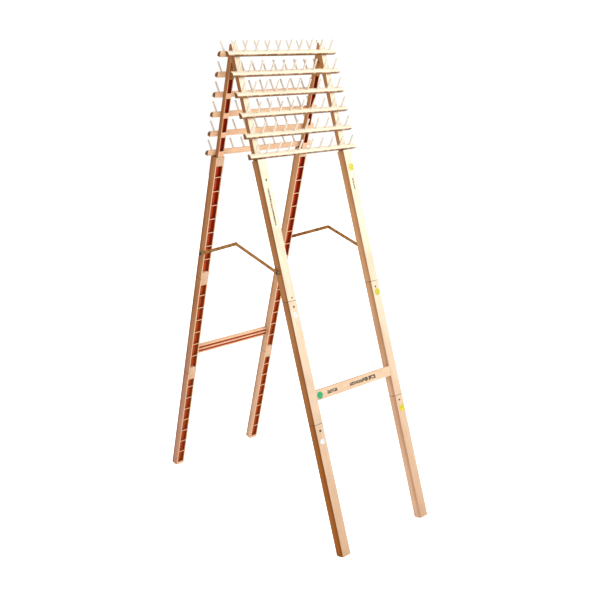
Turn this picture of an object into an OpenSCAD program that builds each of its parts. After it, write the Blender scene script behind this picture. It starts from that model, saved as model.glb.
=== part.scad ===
// Folding A-frame stand with two racks of pegs for thread spools.
// The front frame leans back, the rear frame is hinged to it at the top, and
// two folding stays hold the feet apart. X is right, -Y is front, Z is up.

/* [Stand] */
// Height of the hinge pins above the floor
pin_z = 1352; // [1150:1:1630]
// Lean of each frame from upright, in degrees
lean = 16.6; // [14:0.1:20]
// Width over the outer sides of the legs
stand_w = 356; // [296:1:366]

/* [Leg stock] */
// Width of a leg, across the stand
leg_w = 30; // [27:0.5:34]
// Depth of a leg, front to back
leg_d = 27; // [25:0.1:32.5]
// Depth of the channel in a leg's inner face
channel_d = 10; // [8:0.5:12]
// Thickness of the channel's side walls
wall_t = 4; // [3:0.5:5]
// Width of the slimmer uprights that carry the racks
upright_w = 20; // [16.5:0.5:24]
// Depth of those uprights
upright_d = 15; // [14.5:0.5:20]
// Thickness of the side walls of their cells
upright_wall_t = 2.5; // [2:0.5:4]
// Height of a crossbar
bar_h = 29; // [24:0.5:34]
// Depth of a crossbar
bar_d = 14; // [12:0.5:18]
// Distance of a crossbar's middle from the feet, along the legs
bar_from_foot = 458; // [430:1:500]

/* [Leg sections and cells] */
// Length of the foot section
foot_section = 380; // [340:1:400]
// Length of the lower section
lower_section = 353; // [320:1:400]
// Distance between the cross ribs
cell_pitch = 45; // [38:1:50]
// Thickness of a cross rib
rib_t = 2.5; // [2:0.5:4]
// Length of a splice block
splice_len = 46; // [36:1:50]
// Solid end at a foot
foot_solid = 12; // [8:1:20]
// Width of the flat planed on a foot
foot_flat = 9; // [6:0.5:14]

/* [Racks] */
// Distance between rails, along the legs
rail_pitch = 57.5; // [50:0.5:60]
// Length of a rail
rail_len = 400; // [380:1:480]
// Depth of a rail
rail_d = 13; // [12:0.5:15]
// Height of a rail
rail_h = 16; // [15:0.5:18]
// Width of the bevel that holds the pegs
rail_bevel = 7.5; // [7:0.5:8]
// Number of pegs on each rail
peg_count = 10; // [4:1:10]
// Distance between pegs
peg_pitch = 40; // [30:1:41]
// Diameter of a peg
peg_dia = 5.5; // [4:0.5:6]
// Length of a peg outside its rail
peg_len = 34; // [25:1:45]

/* [Hinges] */
// Length of a hinge leaf below the pin
leaf_len = 50; // [46:1:54]
// Width of a hinge
leaf_w = 18; // [14:0.5:18]
// Diameter of a hinge pin
pin_dia = 3; // [2.5:0.1:3]

/* [Stays] */
// Distance of the stay pivots from the hinge pins, along the legs
stay_s = 597; // [560:1:620]
// Slope of the open stay links, up to their elbow, in degrees
elbow_rise = 17; // [8:0.5:35]
// Width of a stay link
link_w = 10; // [9:0.5:12]
// Thickness of a stay link
link_t = 2; // [1.5:0.5:2.5]

/* [Hidden] */
$fn = 48;

wood = [0.98, 0.87, 0.70];
lining_red = [0.62, 0.10, 0.05];
bronze = [0.55, 0.36, 0.16];
steel = [0.60, 0.60, 0.62];

rail_count = 6;        // rails on each frame, each one a node
body_gap = 0.3;        // air left between two bodies that face each other
running = 0.05;        // radial clearance round a turning pin

half_w = stand_w / 2;
inner_x = half_w - leg_w;
leg_mid_x = half_w - leg_w / 2;

// Along a leg, s runs down from the hinge pin and d runs outward from the pin.
inner_d = 3;                                    // inner face of a leg
outer_d = inner_d + leg_d;                      // outer face of a leg
rack_d = inner_d + upright_d;                   // outer face of an upright
top_s = -46;                                    // top ends of the legs
end_s = round(10 * (pin_z + (inner_d + foot_flat * cos(lean)) * sin(lean)) / cos(lean)) / 10;
seam_foot_s = end_s - foot_section;
seam_lower_s = seam_foot_s - lower_section;
channel_w = leg_w - 2 * wall_t;
upright_channel_w = upright_w - 2 * upright_wall_t;
bar_s = end_s - bar_from_foot;
lining_t = 1;

upper_block_len = 28;

// Rails: the lower edge of the first one is just above the hinge pin, and the
// uprights end just below the last one.
rail_first_s = -9;
seam_upper_s = rail_first_s + (rail_count - 1) * rail_pitch + 2;
rail_screw_u = 4;                               // height of the screws in a rail
screw_r = 1.6;
screw_head_r = 3;
screw_head_t = 1.8;
rail_screw_len = 25;
gap_shift = peg_count % 2 == 0 ? 0 : 0.5;       // an odd peg sits on the middle
nearest_gap_x = (round(leg_mid_x / peg_pitch - gap_shift) + gap_shift) * peg_pitch;
screw_reach = upright_w / 2 - screw_head_r - 2;     // from the middle of a leg
rail_screw_x = leg_mid_x + min(max(nearest_gap_x - leg_mid_x, -screw_reach), screw_reach);
peg_tenon_r = peg_dia / 2 - 0.4;                 // the tenon that sits in the rail
peg_tenon_len = 9;
peg_tip = 0.9;                                  // chamfer on a peg's end

// Hinges
pin_r = pin_dia / 2;
knuckle_r = inner_d - body_gap;
leaf_t = 1.5;
knuckle_gap = 0.3;
knuckle_len = (leaf_w - 2 * knuckle_gap) / 3;
leaf_screw_s = [16, 28, 41];
leaf_screw_len = 13;

// Stays: the pivots sit in mid depth, or just clear of a deep channel.
pivot_screw_r = 2.5;
pivot_d = inner_d + max(leg_d / 2, channel_d + pivot_screw_r + 1);
pivot_reach = sqrt(stay_s * stay_s + pivot_d * pivot_d);
pivot_angle = atan(pivot_d / stay_s);
link_len = pivot_reach * sin(lean + pivot_angle) / cos(elbow_rise);
link_open_deg = 90 - elbow_rise - lean;
pivot_head_r = 5;
pivot_head_t = 2.4;
pivot_screw_depth = 20;
washer_t = 1.5;
washer_r = 5;
link_gap = 0.5;
rear_link_x = washer_t + body_gap;              // gap from the leg to the inner link
front_link_x = rear_link_x + link_t + link_gap; // gap from the leg to the outer link
link_hole_r = pivot_screw_r + running;
rivet_r = 2.5;
rivet_head_r = 4;
rivet_head_t = 1.6;
button_head_t = 1.2;

// Crossbars: flush with the outer faces of the legs, with two grooves inside.
groove_d = 5;
groove_t = 3.5;                                 // wood beside and between the grooves
groove_h = (bar_h - 3 * groove_t) / 2;
groove_s = [for (k = [-1, 1]) bar_s + k * (groove_h + groove_t) / 2];
groove_floor = outer_d - bar_d + groove_d;
dowel_r = 2.5;
dowel_len = 40;
dowel_d = (groove_floor + outer_d) / 2;
dowel_s = [bar_s - bar_h / 4, bar_s + bar_h / 4];

// ---------- placing ----------

// Puts a shape drawn in leg coordinates (x, -d, -s) on the front frame.
module on_front() {
    translate([0, 0, pin_z])
        rotate([-lean, 0, 0])
            children();
}

module on_rear() {
    mirror([0, 1, 0])
        on_front()
            children();
}

// A box given by its ranges in x, outward depth d and distance s down the leg.
module leg_box(x, d, s) {
    translate([x[0], -d[1], -s[1]])
        cube([x[1] - x[0], d[1] - d[0], s[1] - s[0]]);
}

// A cylinder that runs along X, from x0 to x1.
module x_rod(r, x0, x1, d, s) {
    translate([min(x0, x1), -d, -s])
        rotate([0, 90, 0])
            cylinder(r = r, h = abs(x1 - x0));
}

// A cylinder that runs outward, from depth d0 to d1.
module d_rod(r, d0, d1, x, s) {
    translate([x, -d0, -s])
        rotate([90, 0, 0])
            cylinder(r = r, h = d1 - d0);
}

// A countersunk screw with its head flush at depth d, running inward (dir -1) or outward (dir 1).
module d_screw(x, s, d, head_t, len, dir) {
    translate([x, -d, -s])
        rotate([dir > 0 ? 90 : -90, 0, 0]) {
            cylinder(r1 = screw_head_r, r2 = screw_r, h = head_t);
            cylinder(r = screw_r, h = len);
        }
}

// The hole for that screw, open above the head.
module d_screw_hole(x, s, d, head_t, len, dir) {
    d_screw(x, s, d, head_t, len, dir);
    d_rod(screw_head_r, min(d, d - dir), max(d, d - dir), x, s);
}

// ---------- legs ----------

// Rib positions in the section that starts at the seam s0 and ends at s1.
function ribs_up_from(s1, s0) =
    [for (k = [1 : 20]) let (s = s1 - k * cell_pitch) if (s > s0 + splice_len / 2 + rib_t) s];

rib_s = concat(
    ribs_up_from(seam_lower_s - splice_len / 2, seam_upper_s + upper_block_len - splice_len / 2),
    ribs_up_from(seam_foot_s - splice_len / 2, seam_lower_s),
    ribs_up_from(end_s - foot_solid, seam_foot_s)
);

// Between two rails an upright has one open cell. It starts below the hinge leaf.
cell_spans = [for (i = [1 : rail_count - 2]) [max(rail_s(i), leaf_len + 1), rail_s(i + 1) - rail_h]];

module channel(x_mid, w, s) {
    leg_box([x_mid - w / 2, x_mid + w / 2], [inner_d - 1, inner_d + channel_d], s);
}

// The space that a rib fills, wide enough to cut other pieces with.
module rib(x_mid, s) {
    leg_box([x_mid - leg_w / 2, x_mid + leg_w / 2], [0, outer_d], [s - rib_t / 2, s + rib_t / 2]);
}

// Everything that is cut out of the legs by screws and dowels.
module leg_holes(side) {
    x_mid = side * leg_mid_x;
    for (i = [0 : rail_count - 1])
        d_rod(screw_r, rack_d + rail_d - rail_screw_len, rack_d + 1, side * rail_screw_x, rail_screw_s(i));
    for (s = leaf_screw_s)
        d_rod(screw_r, inner_d - 1, inner_d - leaf_t + leaf_screw_len, x_mid, s);
    x_rod(pivot_screw_r, side * (half_w - pivot_screw_depth), side * (half_w + 1), pivot_d, stay_s);
    for (s = dowel_s)
        x_rod(dowel_r, side * (inner_x - 1), side * (inner_x + dowel_len / 2), dowel_d, s);
}

// Cuts the mitred top and the flat foot, in stand coordinates.
module leg_trim() {
    big = 4 * leg_d;
    translate([-stand_w, -body_gap / 2, pin_z - 1])
        cube([2 * stand_w, big, big]);
    translate([-stand_w, -pin_z, -big])
        cube([2 * stand_w, pin_z, big]);
}

module leg_section(side, s0, s1) {
    x_mid = side * leg_mid_x;
    color(wood)
        difference() {
            on_front()
                difference() {
                    leg_box([x_mid - leg_w / 2, x_mid + leg_w / 2], [inner_d, outer_d], [s0, s1]);
                    difference() {
                        channel(x_mid, channel_w, [s0 - 1, min(s1 + 1, end_s - foot_solid)]);
                        for (s = rib_s)
                            rib(x_mid, s);
                    }
                    leg_holes(side);
                }
            leg_trim();
        }
}

module leg_top(side) {
    x_mid = side * leg_mid_x;
    color(wood)
        difference() {
            on_front()
                difference() {
                    leg_box([x_mid - upright_w / 2, x_mid + upright_w / 2], [inner_d, rack_d],
                        [top_s, seam_upper_s]);
                    for (span = cell_spans)
                        channel(x_mid, upright_channel_w, span);
                    leg_holes(side);
                }
            leg_trim();
        }
}

module leg_upper(side) { leg_section(side, seam_upper_s, seam_lower_s); }
module leg_lower(side) { leg_section(side, seam_lower_s, seam_foot_s); }
module leg_foot(side) { leg_section(side, seam_foot_s, end_s); }

// Blocks that fill the channel at the seams.
block_spans = concat(
    [[seam_upper_s, seam_upper_s + upper_block_len]],
    [for (s = [seam_lower_s, seam_foot_s]) [s - splice_len / 2, s + splice_len / 2]]
);

module leg_blocks() {
    color(wood)
        on_front()
            difference() {
                for (side = [-1, 1], span = block_spans)
                    leg_box([side * leg_mid_x - channel_w / 2, side * leg_mid_x + channel_w / 2],
                        [inner_d, inner_d + channel_d], span);
                for (side = [-1, 1], s = rib_s)
                    rib(side * leg_mid_x, s);
            }
}

// Red strips on the floor of each cell, and along the crossbar's grooves.
module linings() {
    floor_d = [inner_d + channel_d - lining_t, inner_d + channel_d];
    color(lining_red)
        on_front() {
            for (side = [-1, 1], span = cell_spans)
                leg_box([side * leg_mid_x - upright_channel_w / 2, side * leg_mid_x + upright_channel_w / 2],
                    floor_d, span);
            difference() {
                for (side = [-1, 1])
                    leg_box([side * leg_mid_x - channel_w / 2, side * leg_mid_x + channel_w / 2],
                        floor_d, [seam_upper_s, end_s - foot_solid]);
                for (side = [-1, 1], s = rib_s)
                    rib(side * leg_mid_x, s);
                for (span = block_spans)
                    leg_box([-half_w, half_w], [0, outer_d], span);
            }
            for (s = groove_s)
                leg_box([-inner_x, inner_x], [groove_floor - lining_t, groove_floor],
                    [s - groove_h / 2, s + groove_h / 2]);
        }
}

// ---------- crossbar ----------

module crossbar() {
    color(wood)
        on_front()
            difference() {
                leg_box([-inner_x, inner_x], [outer_d - bar_d, outer_d],
                    [bar_s - bar_h / 2, bar_s + bar_h / 2]);
                for (s = groove_s)
                    leg_box([-inner_x - 1, inner_x + 1], [groove_floor - groove_d - 1, groove_floor],
                        [s - groove_h / 2, s + groove_h / 2]);
                for (side = [-1, 1], s = dowel_s)
                    x_rod(dowel_r, side * (inner_x - dowel_len / 2), side * (inner_x + 1), dowel_d, s);
            }
}

module crossbar_dowels() {
    color(wood)
        on_front()
            for (side = [-1, 1], s = dowel_s)
                x_rod(dowel_r, side * (inner_x - dowel_len / 2), side * (inner_x + dowel_len / 2),
                    dowel_d, s);
}

// ---------- racks ----------

function rail_s(i) = rail_first_s + i * rail_pitch;
function rail_screw_s(i) = rail_s(i) - rail_screw_u;
function peg_x(k) = (k - (peg_count - 1) / 2) * peg_pitch;

// Puts a shape drawn along the peg's axis at the middle of the rail's bevel.
module at_peg(i, k) {
    translate([peg_x(k), -(rack_d + rail_d - rail_bevel / 2), -rail_s(i) + rail_h - rail_bevel / 2])
        rotate([45, 0, 0])
            children();
}

module rail(i) {
    color(wood)
        on_front()
            difference() {
                translate([-rail_len / 2, -rack_d, -rail_s(i)])
                    rotate([90, 0, 90])
                        linear_extrude(rail_len)
                            polygon([[0, 0], [-rail_d, 0], [-rail_d, rail_h - rail_bevel],
                                [-rail_d + rail_bevel, rail_h], [0, rail_h]]);
                for (k = [0 : peg_count - 1])
                    at_peg(i, k)
                        translate([0, 0, -peg_tenon_len])
                            cylinder(r = peg_tenon_r, h = peg_tenon_len + 5);
                for (side = [-1, 1])
                    d_screw_hole(side * rail_screw_x, rail_screw_s(i), rack_d + rail_d,
                        screw_head_t, rail_screw_len, -1);
            }
}

module pegs() {
    color(wood)
        on_front()
            for (i = [0 : rail_count - 1], k = [0 : peg_count - 1])
                at_peg(i, k) {
                    translate([0, 0, -peg_tenon_len])
                        cylinder(r = peg_tenon_r, h = peg_tenon_len);
                    cylinder(d = peg_dia, h = peg_len - peg_tip);
                    translate([0, 0, peg_len - peg_tip])
                        cylinder(d1 = peg_dia, d2 = peg_dia - 2 * peg_tip, h = peg_tip);
                }
}

module rail_screws() {
    color(steel)
        on_front()
            for (i = [0 : rail_count - 1], side = [-1, 1])
                d_screw(side * rail_screw_x, rail_screw_s(i), rack_d + rail_d,
                    screw_head_t, rail_screw_len, -1);
}

// ---------- hinges ----------

// The front leaf has the two outer knuckles, and the rear leaf has the middle one.
module leaf(side, outer_knuckles) {
    x0 = side * leg_mid_x - leaf_w / 2;
    notch_r = knuckle_r + body_gap;
    step = knuckle_len + knuckle_gap;
    color(bronze)
        on_front()
            difference() {
                union() {
                    leg_box([x0, x0 + leaf_w], [inner_d - leaf_t, inner_d], [0, leaf_len]);
                    for (k = [0 : 2])
                        if (outer_knuckles == (k != 1))
                            x_rod(knuckle_r, x0 + k * step, x0 + k * step + knuckle_len, 0, 0);
                }
                for (k = [0 : 2])
                    if (outer_knuckles != (k != 1))
                        leg_box([x0 + k * step - knuckle_gap, x0 + k * step + knuckle_len + knuckle_gap],
                            [-inner_d, inner_d + 1], [-inner_d, notch_r]);
                x_rod(outer_knuckles ? pin_r : pin_r + running, x0 - 1, x0 + leaf_w + 1, 0, 0);
                for (s = leaf_screw_s)
                    d_screw_hole(side * leg_mid_x, s, inner_d - leaf_t, leaf_t, leaf_screw_len, 1);
            }
}

module pins() {
    color(bronze)
        on_front()
            for (side = [-1, 1])
                x_rod(pin_r, side * leg_mid_x - leaf_w / 2, side * leg_mid_x + leaf_w / 2, 0, 0);
}

module hinge_screws() {
    color(bronze)
        on_front()
            for (side = [-1, 1], s = leaf_screw_s)
                d_screw(side * leg_mid_x, s, inner_d - leaf_t, leaf_t, leaf_screw_len, 1);
}

// ---------- stays ----------

// Puts a link drawn along +Z from its pivot on the frame, turned to the open position.
module at_pivot() {
    on_front()
        translate([0, -pivot_d, -stay_s])
            rotate([-link_open_deg, 0, 0])
                children();
}

module stay_link(side, gap, end_hole_r) {
    x0 = side * (half_w + gap);
    color(bronze)
        at_pivot()
            difference() {
                union() {
                    translate([min(x0, x0 + side * link_t), -link_w / 2, 0])
                        cube([link_t, link_w, link_len]);
                    for (z = [0, link_len])
                        x_rod(link_w / 2, x0, x0 + side * link_t, 0, -z);
                }
                x_rod(link_hole_r, x0 - side, x0 + side * (link_t + 1), 0, 0);
                x_rod(end_hole_r, x0 - side, x0 + side * (link_t + 1), 0, -link_len);
            }
}

// The elbow is one rivet: its outer half stays in the front link, its inner half in the rear link.
module elbow_half(side, gap, head_t, out) {
    x0 = half_w + gap;
    head = out ? [x0 + link_t, x0 + link_t + head_t] : [x0 - head_t, x0];
    color(bronze)
        at_pivot() {
            x_rod(rivet_r, side * x0, side * (x0 + link_t), 0, -link_len);
            x_rod(rivet_head_r, side * head[0], side * head[1], 0, -link_len);
        }
}

module elbow_rivet(side) { elbow_half(side, front_link_x, rivet_head_t, true); }
module elbow_button(side) { elbow_half(side, rear_link_x, button_head_t, false); }

module pivot_screws(gap) {
    head_x = half_w + gap + link_t + body_gap;
    color(steel)
        on_front()
            for (side = [-1, 1]) {
                x_rod(pivot_screw_r, side * (half_w - pivot_screw_depth), side * head_x, pivot_d, stay_s);
                x_rod(pivot_head_r, side * head_x, side * (head_x + pivot_head_t), pivot_d, stay_s);
            }
}

module pivot_washers(thickness) {
    color(steel)
        on_front()
            for (side = [-1, 1])
                difference() {
                    x_rod(washer_r, side * half_w, side * (half_w + thickness), pivot_d, stay_s);
                    x_rod(pivot_screw_r, side * (half_w - 1), side * (half_w + thickness + 1),
                        pivot_d, stay_s);
                }
}

// ---------- stickers ----------

// Each sticker: x, distance s, radius.
sticker_r = 10.5;
sticker_t = 0.3;
sticker_spots = [
    [-inner_x + 11, bar_s + 1],
    [leg_mid_x + 2, end_s - 1080],
    [leg_mid_x + 2, end_s - 699],
    [leg_mid_x + 3, end_s - 339]
];

module stickers() {
    color([0.3, 0.8, 0.3])
        on_front()
            for (p = sticker_spots)
                d_rod(sticker_r, outer_d, outer_d + sticker_t, p[0], p[1]);
}

// ---------- nodes ----------

module mirrored() { mirror([0, 1, 0]) children(); }

leg_top(-1);  // front_left_leg_top
leg_upper(-1);  // front_left_leg_upper
leg_lower(-1);  // front_left_leg_lower
leg_foot(-1);  // front_left_leg_foot
leg_top(1);  // front_right_leg_top
leg_upper(1);  // front_right_leg_upper
leg_lower(1);  // front_right_leg_lower
leg_foot(1);  // front_right_leg_foot
mirrored() leg_top(-1);  // rear_left_leg_top
mirrored() leg_upper(-1);  // rear_left_leg_upper
mirrored() leg_lower(-1);  // rear_left_leg_lower
mirrored() leg_foot(-1);  // rear_left_leg_foot
mirrored() leg_top(1);  // rear_right_leg_top
mirrored() leg_upper(1);  // rear_right_leg_upper
mirrored() leg_lower(1);  // rear_right_leg_lower
mirrored() leg_foot(1);  // rear_right_leg_foot
leg_blocks();  // front_leg_blocks
mirrored() leg_blocks();  // rear_leg_blocks
linings();  // front_linings
mirrored() linings();  // rear_linings
crossbar();  // front_crossbar
mirrored() crossbar();  // rear_crossbar
crossbar_dowels();  // front_crossbar_dowels
mirrored() crossbar_dowels();  // rear_crossbar_dowels
for (i = [0 : rail_count - 1]) {
    rail(i);
    mirrored() rail(i);
}
pegs();  // front_pegs
mirrored() pegs();  // rear_pegs
rail_screws();  // front_rail_screws
mirrored() rail_screws();  // rear_rail_screws
leaf(-1, true);  // left_front_leaf
leaf(1, true);  // right_front_leaf
mirrored() leaf(-1, false);  // left_rear_leaf
mirrored() leaf(1, false);  // right_rear_leaf
pins();  // hinge_pins
hinge_screws();  // front_hinge_screws
mirrored() hinge_screws();  // rear_hinge_screws
stay_link(-1, front_link_x, rivet_r);  // left_front_link
stay_link(1, front_link_x, rivet_r);  // right_front_link
mirrored() stay_link(-1, rear_link_x, rivet_r);  // left_rear_link
mirrored() stay_link(1, rear_link_x, rivet_r);  // right_rear_link
elbow_rivet(-1);  // left_elbow_rivet
elbow_rivet(1);  // right_elbow_rivet
mirrored() elbow_button(-1);  // left_elbow_button
mirrored() elbow_button(1);  // right_elbow_button
pivot_screws(front_link_x);  // front_pivot_screws
mirrored() pivot_screws(rear_link_x);  // rear_pivot_screws
pivot_washers(front_link_x - body_gap);  // front_pivot_spacers
mirrored() pivot_washers(washer_t);  // rear_pivot_washers
stickers();
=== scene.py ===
import math
import random

import bpy
from mathutils import Matrix, Vector


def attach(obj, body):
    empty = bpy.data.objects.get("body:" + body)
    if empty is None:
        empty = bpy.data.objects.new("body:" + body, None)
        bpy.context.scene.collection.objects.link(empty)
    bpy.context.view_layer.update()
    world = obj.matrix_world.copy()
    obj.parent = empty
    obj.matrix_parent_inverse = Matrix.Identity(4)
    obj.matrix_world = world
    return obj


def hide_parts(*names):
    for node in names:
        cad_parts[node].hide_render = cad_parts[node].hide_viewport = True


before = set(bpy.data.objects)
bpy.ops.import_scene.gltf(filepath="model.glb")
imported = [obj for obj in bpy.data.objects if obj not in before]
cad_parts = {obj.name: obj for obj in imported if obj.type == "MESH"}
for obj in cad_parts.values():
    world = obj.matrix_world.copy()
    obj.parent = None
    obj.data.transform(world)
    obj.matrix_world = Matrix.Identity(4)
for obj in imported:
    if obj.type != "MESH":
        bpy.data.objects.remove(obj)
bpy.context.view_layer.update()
bpy.ops.object.select_all(action="DESELECT")
print("frame loaded with", len(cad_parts), "nodes")

# The stand's own measures, in metres. Pieces are first made in leg coordinates: x across,
# -y outward from the hinge pin, -z down the leg. Then they are leaned onto their frame.
# Rails and the crossbar are placed here because the wood finishes follow them.
stand = {
    "pinHeight": 1.352,
    "lean": math.radians(16.6),
    "halfWidth": 0.178,
    "legWidth": 0.030,
    "innerFace": 0.003,
    "outerFace": 0.030,
    "rackFace": 0.018,
    "foot": 1.4143,
    "seams": [0.2805, 0.6813, 1.0343],  # where the sections of a leg meet
    "crossbarAt": 0.9563,
}
legMiddle = stand["halfWidth"] - stand["legWidth"] / 2
pinAlong = stand["pinHeight"] * math.cos(stand["lean"])
pinOut = stand["pinHeight"] * math.sin(stand["lean"])

rails = {
    "count": 6,
    "first": -0.009,
    "pitch": 0.0575,
    "length": 0.400,
    "depth": 0.013,
    "height": 0.016,
    "bevel": 0.0075,
    "ease": 0.0008,
}


# ---- small helpers for modelling ----


def useOnly(piece):
    bpy.ops.object.select_all(action="DESELECT")
    piece.select_set(True)
    bpy.context.view_layer.objects.active = piece


def openMesh(piece, pick="FACE"):
    useOnly(piece)
    bpy.ops.object.mode_set(mode="EDIT")
    bpy.ops.mesh.select_mode(type=pick)
    bpy.ops.mesh.select_all(action="DESELECT")


def closeMesh():
    bpy.ops.object.mode_set(mode="OBJECT")


def pickParts(pick, parts, wanted):
    bpy.ops.mesh.select_mode(type=pick)
    bpy.ops.mesh.select_all(action="DESELECT")
    bpy.ops.object.mode_set(mode="OBJECT")
    for part in parts:
        part.select = bool(wanted(part))
    bpy.ops.object.mode_set(mode="EDIT")


def pickFaces(piece, wanted):
    # wanted(centre, normal) says which faces are taken
    pickParts("FACE", piece.data.polygons, lambda face: wanted(face.center, face.normal))


def pickEdges(piece, wanted):
    # wanted(first end, second end) says which edges are taken
    points = piece.data.vertices
    pickParts("EDGE", piece.data.edges, lambda edge: wanted(*(points[i].co for i in edge.vertices)))


def cutAt(point, normal, dropAbove=False):
    bpy.ops.mesh.select_all(action="SELECT")
    bpy.ops.mesh.bisect(
        plane_co=point, plane_no=normal, clear_outer=dropAbove, use_fill=dropAbove
    )


def extrudeBy(x, y, z):
    bpy.ops.mesh.extrude_region_move(TRANSFORM_OT_translate={"value": (x, y, z)})


def applyPlace():
    bpy.ops.object.transform_apply(location=True, rotation=True, scale=True)


def smoothUnder(degrees):
    bpy.ops.object.shade_smooth_by_angle(angle=math.radians(degrees))


def cleanMesh():
    bpy.ops.mesh.select_all(action="SELECT")
    bpy.ops.mesh.remove_doubles(threshold=1e-5)
    bpy.ops.mesh.dissolve_limited(angle_limit=math.radians(0.5))


def addBox(name, low, high):
    low, high = Vector(low), Vector(high)
    bpy.ops.mesh.primitive_cube_add(size=1, location=(low + high) / 2)
    box = bpy.context.active_object
    box.name = name
    box.scale = high - low
    applyPlace()
    return box


def addRound(sides, radius, low, high):
    bpy.ops.mesh.primitive_cylinder_add(
        vertices=sides, radius=radius, depth=high - low, location=(0, 0, (low + high) / 2)
    )
    applyPlace()
    return bpy.context.active_object


def easeEdges(piece, width, segments=2, angle=30):
    useOnly(piece)
    ease = piece.modifiers.new("eased edges", "BEVEL")
    ease.width = width
    ease.segments = segments
    ease.limit_method = "ANGLE"
    ease.angle_limit = math.radians(angle)
    bpy.ops.object.modifier_apply(modifier=ease.name)
    smoothUnder(40)


def placeBy(piece, matrix):
    useOnly(piece)
    piece.matrix_world = matrix @ piece.matrix_world
    applyPlace()
    if matrix.determinant() < 0:
        openMesh(piece)
        bpy.ops.mesh.select_all(action="SELECT")
        bpy.ops.mesh.normals_make_consistent(inside=False)
        closeMesh()


def copyPiece(piece, name, matrix=None):
    useOnly(piece)
    bpy.ops.object.duplicate(linked=False)
    copied = bpy.context.active_object
    copied.name = name
    if matrix is not None:
        placeBy(copied, matrix)
    return copied


def joinPieces(pieces, name):
    useOnly(pieces[0])
    for piece in pieces:
        piece.select_set(True)
    if len(pieces) > 1:
        bpy.ops.object.join()
    joined = bpy.context.active_object
    joined.name = name
    return joined


def setPiece(piece, body, slot, finish, *nodes):
    # which body carries the piece, its finish, and the CAD nodes that it stands for
    piece.data.materials.clear()
    piece.data.materials.append(finish)
    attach(piece, body)
    if nodes:
        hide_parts(*nodes)


def setPair(front, name, slot, finishes, node):
    # a piece of the front frame, and its mirror image in the rear frame
    front.name = "front" + name
    rear = copyPiece(front, "rear" + name, toRear)
    for piece, side, finish in zip((front, rear), ("front", "rear"), finishes):
        setPiece(piece, side + "_frame", slot, finish, f"{side}_{node}")


onFront = Matrix.Translation((0, 0, stand["pinHeight"])) @ Matrix.Rotation(
    -stand["lean"], 4, "X"
)
toRight = Matrix.Scale(-1, 4, (1, 0, 0))
toRear = Matrix.Scale(-1, 4, (0, 1, 0))


# ---- node groups shared by the finishes ----


def newGroup(name, inputs, outputs):
    # inputs: name -> a number, or None for a vector; every output is a number
    group = bpy.data.node_groups.new(name, "ShaderNodeTree")
    for label, value in inputs.items():
        kind = "NodeSocketVector" if value is None else "NodeSocketFloat"
        socket = group.interface.new_socket(name=label, in_out="INPUT", socket_type=kind)
        if value is not None:
            socket.default_value = value
    for label in outputs:
        group.interface.new_socket(name=label, in_out="OUTPUT", socket_type="NodeSocketFloat")
    start = group.nodes.new("NodeGroupInput")
    end = group.nodes.new("NodeGroupOutput")
    start.location, end.location = (-900, 0), (700, 0)
    return group, start.outputs, end.inputs


def addNode(tree, kind, inputs=None, **settings):
    # inputs: socket name or number -> a value, or an output socket to link from
    node = tree.nodes.new(kind)
    for key, value in settings.items():
        setattr(node, key, value)
    for key, value in (inputs or {}).items():
        if isinstance(value, bpy.types.NodeSocket):
            tree.links.new(value, node.inputs[key])
        else:
            node.inputs[key].default_value = value
    return node


def calc(tree, operation, a, b=0.0, c=0.0):
    return addNode(tree, "ShaderNodeMath", {0: a, 1: b, 2: c}, operation=operation).outputs[0]


def times(tree, a, b):
    return calc(tree, "MULTIPLY", a, b)


def minus(tree, a, b):
    return calc(tree, "SUBTRACT", a, b)


def absolute(tree, a):
    return calc(tree, "ABSOLUTE", a)


def axes(tree, vector):
    return addNode(tree, "ShaderNodeSeparateXYZ", {0: vector}).outputs


def objectPoint(tree):
    return addNode(tree, "ShaderNodeTexCoord").outputs["Object"]


def noise(tree, vector, scale, detail=2.0, **more):
    wanted = {"Vector": vector, "Scale": scale, "Detail": detail, **more}
    return addNode(tree, "ShaderNodeTexNoise", wanted).outputs["Fac"]


def addBump(tree, shader, height, distance, strength):
    bump = addNode(
        tree, "ShaderNodeBump", {"Height": height, "Distance": distance, "Strength": strength}
    )
    tree.links.new(bump.outputs[0], shader["Normal"])


def mixColour(tree, share, a, b, blend="MIX"):
    node = addNode(tree, "ShaderNodeMix", data_type="RGBA", blend_type=blend)
    for socket, value in zip((node.inputs[0], node.inputs[6], node.inputs[7]), (share, a, b)):
        if isinstance(value, bpy.types.NodeSocket):
            tree.links.new(value, socket)
        else:
            socket.default_value = value
    return node.outputs[2]


def fadeRange(tree, value, low, high):
    node = addNode(
        tree,
        "ShaderNodeMapRange",
        {"Value": value, "From Min": low, "From Max": high},
        interpolation_type="SMOOTHSTEP",
    )
    return node.outputs[0]


def stretched(tree, vector, scale):
    return addNode(tree, "ShaderNodeMapping", {"Vector": vector, "Scale": scale}).outputs[0]


def colour(red, green, blue):
    return (red, green, blue, 1.0)


# Each pair below is where a noise starts and ends as a mask.
fades = {
    "streaks": (0.34, 0.68),
    "bands": (0.36, 0.66),
    "pores": (0.64, 0.74),
    "edge": (0.02, 0.3),
    "patches": (0.4, 0.62),
    "smudge": (0.42, 0.72),
    "stampRim": (-0.0001, 0.0003),
    "dashes": (0.38, 0.44),
    "sideways": (0.5, 0.85),
    "inward": (0.3, 0.8),
    "upward": (0.75, 0.9),
    "barEnd": (0.6, 0.85),
    "barUnder": (0.5, 0.85),
    "paintedShade": (0.40, 0.56),
    "fibres": (0.4, 0.7),
    "print": (0.5, 0.56),
}

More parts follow.
